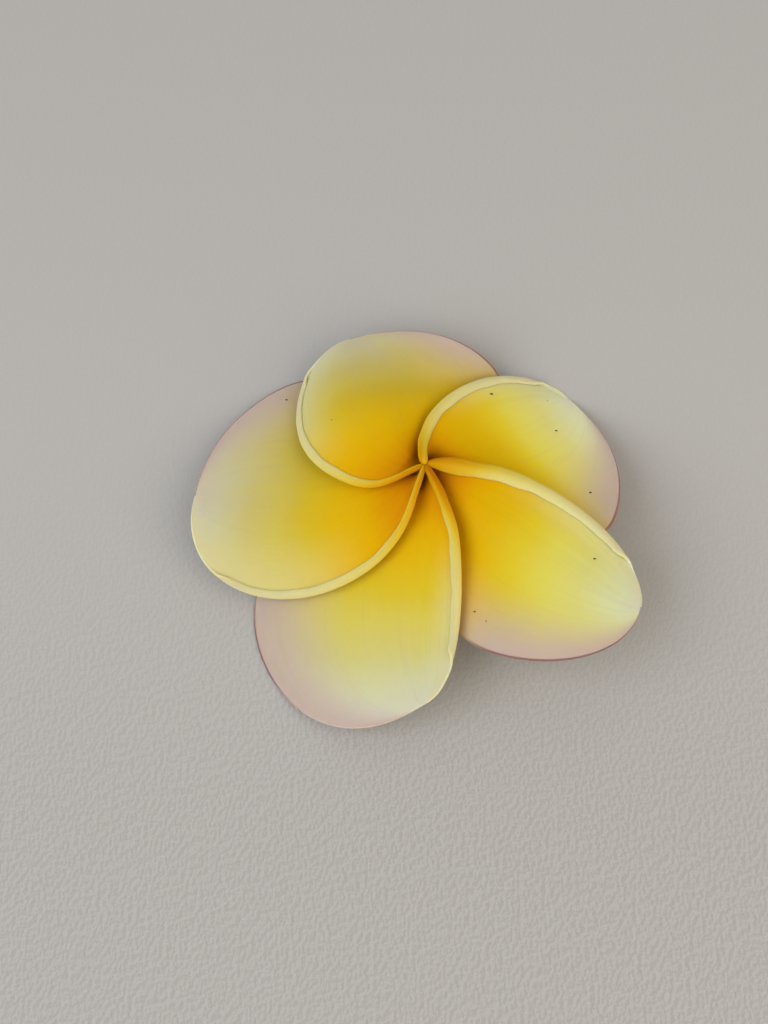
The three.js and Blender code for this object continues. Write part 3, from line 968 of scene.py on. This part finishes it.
def make_specks(material):
    places, outs, sizes = [], [], []
    draw = np.random.default_rng(SPECK_SEED)
    spans = (SPECK_ALONG, SPECK_ACROSS, SPECK_LENGTHS)
    around = SPECK_STEP * np.array([-1, 0, 1])
    for name, count in SPECK_COUNTS.items():
        petal = PETALS[name]
        for _ in range(count):
            s, c, size = (draw.uniform(*span) for span in spans)
            patch = middle_surface(petal, s + around, c + 2 * around)
            normal = grid_normals(patch)[1, 1]
            raised = patch[1, 1] + normal * SPECK_RAISE
            places.append(lie_down(raised, petal["turn"]) * MM)
            outs.append(lie_down(normal, petal["turn"]) - np.array(THROAT))
            sizes.append(size * MM)
    facts = {"out": np.array(outs), "size": np.array(sizes)}
    piece = make_mesh("specks", places, [], facts)
    speck_tree().apply(piece, {"Material": material})
    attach(piece, BODY)
    return piece


def speck_material():
    graph = ShaderGraph("speck_grain")
    place = graph.node("ShaderNodeTexCoord", None, None, "Object")
    colour = graph.blend(tone(52, 40, 24), tone(96, 74, 40), graph.noise(place, 9000.0))
    return graph.finish({"Base Color": colour, "Roughness": 0.8})


class FLOWER_OT_specks(bpy.types.Operator):
    """Makes the few dark specks on the petals"""
    bl_idname = "flower.specks"
    bl_label = "Specks"

    def execute(self, context):
        make_specks(speck_material())
        return {"FINISHED"}


# ---- the stage -----------------------------------------------------------------------------------
def make_floor(settings):
    half = FLOOR_HALF
    corners = [(-half, -half, 0), (half, -half, 0), (half, half, 0), (-half, half, 0)]
    floor = make_mesh("floor", corners, [(0, 1, 2, 3)], {})
    graph = ShaderGraph("floor_paper")
    place = graph.node("ShaderNodeTexCoord", None, None, "Object")
    y = graph.node("ShaderNodeSeparateXYZ", None, {"Vector": place}, "Y")
    stretched = graph.node(
        "ShaderNodeVectorMath", {"operation": "MULTIPLY"}, {0: place, 1: GRAIN_SCALE})
    beside = graph.node(
        "ShaderNodeVectorMath", {"operation": "ADD"}, {0: stretched, 1: GRAIN_BESIDE})
    # Painted shade: each grain of the paper is darker on one side, from its difference to the spot
    # beside it, as if lit at a slant, and more so toward the front, so the floor is also darker
    # there.
    grain = graph.noise(stretched, 1.0, 3.0)
    painted_grain_shade = graph.ramp(grain - graph.noise(beside, 1.0, 3.0), -0.12, 0.12)
    near = 1 - graph.ramp(y, GRAIN_NEAR, GRAIN_FAR)
    paper = graph.blend(
        tuple(settings.floor), tone(152, 149, 146), painted_grain_shade * (near * 0.3 + 0.05))
    bump = graph.node(
        "ShaderNodeBump", None,
        {"Strength": 1.0, "Distance": 0.25 * MM, "Height": grain * (near * 0.7 + 0.15)}, "Normal")
    floor.data.materials.append(graph.finish({
        "Base Color": paper, "Roughness": 0.85, "Normal": bump,
        "Specular IOR Level": 0.2}))


def make_light(name, kind, power):
    data = bpy.data.lights.new(name, "AREA")
    data.shape = "DISK"
    data.size = kind["size"]
    data.energy = power
    data.color = kind["colour"]
    light = bpy.data.objects.new(name, data)
    bpy.context.scene.collection.objects.link(light)
    light.location = kind["place"]
    aim = Vector(THROAT) * MM - light.location
    light.rotation_euler = aim.to_track_quat("-Z", "Y").to_euler()


def make_camera(settings):
    data = bpy.data.cameras.new("camera")
    camera = bpy.data.objects.new("camera", data)
    bpy.context.scene.collection.objects.link(camera)
    data.sensor_width = SENSOR_WIDTH
    data.lens = settings.lens
    data.shift_x, data.shift_y = CAMERA_SHIFT
    data.clip_start = CLIP_START
    az, el = settings.azimuth, settings.elevation
    back = Vector((sin(az) * cos(el), -cos(az) * cos(el), sin(el)))
    level = Vector((cos(az), sin(az), 0))
    up = back.cross(level)
    right = level * cos(settings.roll) + up * sin(settings.roll)
    over = back.cross(right)
    turn = Matrix((right, over, back)).transposed().to_4x4()
    middle = Vector(THROAT) * MM
    camera.matrix_world = Matrix.Translation(middle + back * settings.distance) @ turn
    bpy.context.scene.camera = camera


class FLOWER_OT_stage(bpy.types.Operator):
    """Makes the floor, the soft lights and the camera"""
    bl_idname = "flower.stage"
    bl_label = "Stage"

    def execute(self, context):
        settings = context.scene.flower_stage
        make_floor(settings)
        make_light("window", WINDOW, settings.key)
        make_light("lamp", LAMP, settings.fill)
        world = bpy.data.worlds.new("room")
        world.use_nodes = True
        background = world.node_tree.nodes["Background"]
        background.inputs["Color"].default_value = ROOM_COLOUR
        background.inputs["Strength"].default_value = settings.sky
        context.scene.world = world
        context.scene.view_settings.view_transform = "Standard"
        make_camera(settings)
        return {"FINISHED"}


class FLOWER_PT_panel(bpy.types.Panel):
    bl_label = "Frangipani flower"
    bl_idname = "FLOWER_PT_panel"
    bl_space_type = "VIEW_3D"
    bl_region_type = "UI"
    bl_category = "Flower"

    def draw(self, context):
        layout = self.layout
        for operator in OPERATORS:
            layout.operator(operator.bl_idname)
        for name, group in SETTINGS.items():
            box = layout.box()
            for setting in group.__annotations__:
                box.prop(getattr(context.scene, name), setting)


OPERATORS = (FLOWER_OT_stage, FLOWER_OT_petals, FLOWER_OT_tube, FLOWER_OT_specks)
SETTINGS = {
    "flower_petals": PetalSettings,
    "flower_colours": ColourSettings,
    "flower_stage": StageSettings,
}


def register():
    for group in (*SETTINGS.values(), *OPERATORS, FLOWER_PT_panel):
        bpy.utils.register_class(group)
    for name, group in SETTINGS.items():
        setattr(bpy.types.Scene, name, bpy.props.PointerProperty(type=group))


def unregister():
    for name in SETTINGS:
        delattr(bpy.types.Scene, name)
    for group in (FLOWER_PT_panel, *OPERATORS[::-1], *SETTINGS.values()):
        bpy.utils.unregister_class(group)


def main():
    register()
    bpy.ops.flower.stage()
    bpy.ops.flower.petals()
    bpy.ops.flower.tube()
    bpy.ops.flower.specks()


if __name__ == "__main__":
    main()
